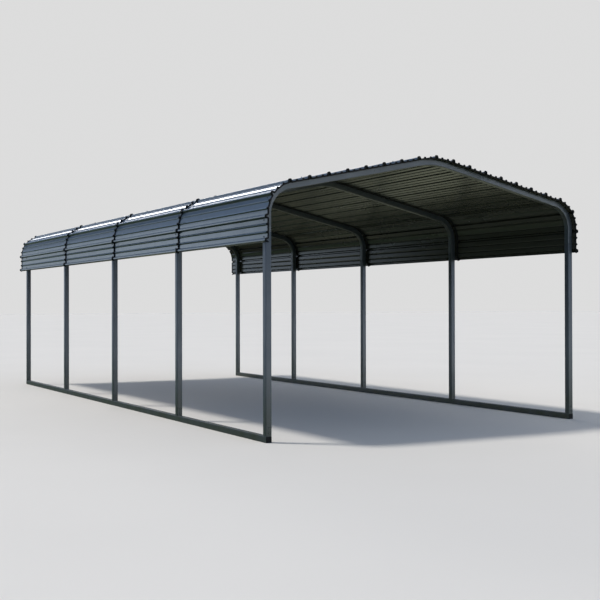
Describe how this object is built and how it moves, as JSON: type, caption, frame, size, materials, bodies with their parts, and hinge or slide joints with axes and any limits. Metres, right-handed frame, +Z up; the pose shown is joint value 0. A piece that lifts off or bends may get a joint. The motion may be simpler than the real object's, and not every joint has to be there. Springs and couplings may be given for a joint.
{
  "type": "carport",
  "caption": "Free-standing open carport: bent square-tube frames on two base rails, with ribbed sheets bent over rounded haunches and a low peaked roof.",
  "frame": {"origin": "middle of the plan at ground level, under the ridge", "axes": "+Z up, +Y along the length from the front opening to the rear, +X across to the right side seen from the front"},
  "size_m": [3.7136, 8.115, 2.6252],
  "materials": {
    "frame_paint": "semi-gloss grey paint on square steel tube",
    "sheet_paint": "glossy baked charcoal paint on ribbed steel sheet",
    "plug_plastic": "black moulded plug"
  },
  "bodies": {
    "root": {"bent_1_left_leg": "frame_paint", "bent_1_left_corner_bow": "frame_paint", "bent_1_right_leg": "frame_paint", "bent_1_right_corner_bow": "frame_paint", "bent_1_peak_bow": "frame_paint", "bent_2_left_leg": "frame_paint", "bent_2_left_corner_bow": "frame_paint", "bent_2_right_leg": "frame_paint", "bent_2_right_corner_bow": "frame_paint", "bent_2_peak_bow": "frame_paint", "bent_3_left_leg": "frame_paint", "bent_3_left_corner_bow": "frame_paint", "bent_3_right_leg": "frame_paint", "bent_3_right_corner_bow": "frame_paint", "bent_3_peak_bow": "frame_paint", "bent_4_left_leg": "frame_paint", "bent_4_left_corner_bow": "frame_paint", "bent_4_right_leg": "frame_paint", "bent_4_right_corner_bow": "frame_paint", "bent_4_peak_bow": "frame_paint", "bent_5_left_leg": "frame_paint", "bent_5_left_corner_bow": "frame_paint", "bent_5_right_leg": "frame_paint", "bent_5_right_corner_bow": "frame_paint", "bent_5_peak_bow": "frame_paint", "left_base_rail": "frame_paint", "right_base_rail": "frame_paint", "rail_end_plugs": "plug_plastic", "bay_1_left_skirt_sheet": "sheet_paint", "bay_1_left_roof_sheet": "sheet_paint", "bay_1_ridge_sheet": "sheet_paint", "bay_1_right_roof_sheet": "sheet_paint", "bay_1_right_skirt_sheet": "sheet_paint", "bay_2_left_skirt_sheet": "sheet_paint", "bay_2_left_roof_sheet": "sheet_paint", "bay_2_ridge_sheet": "sheet_paint", "bay_2_right_roof_sheet": "sheet_paint", "bay_2_right_skirt_sheet": "sheet_paint", "bay_3_left_skirt_sheet": "sheet_paint", "bay_3_left_roof_sheet": "sheet_paint", "bay_3_ridge_sheet": "sheet_paint", "bay_3_right_roof_sheet": "sheet_paint", "bay_3_right_skirt_sheet": "sheet_paint", "bay_4_left_skirt_sheet": "sheet_paint", "bay_4_left_roof_sheet": "sheet_paint", "bay_4_ridge_sheet": "sheet_paint", "bay_4_right_roof_sheet": "sheet_paint", "bay_4_right_skirt_sheet": "sheet_paint"}
  },
  "joints": []
}
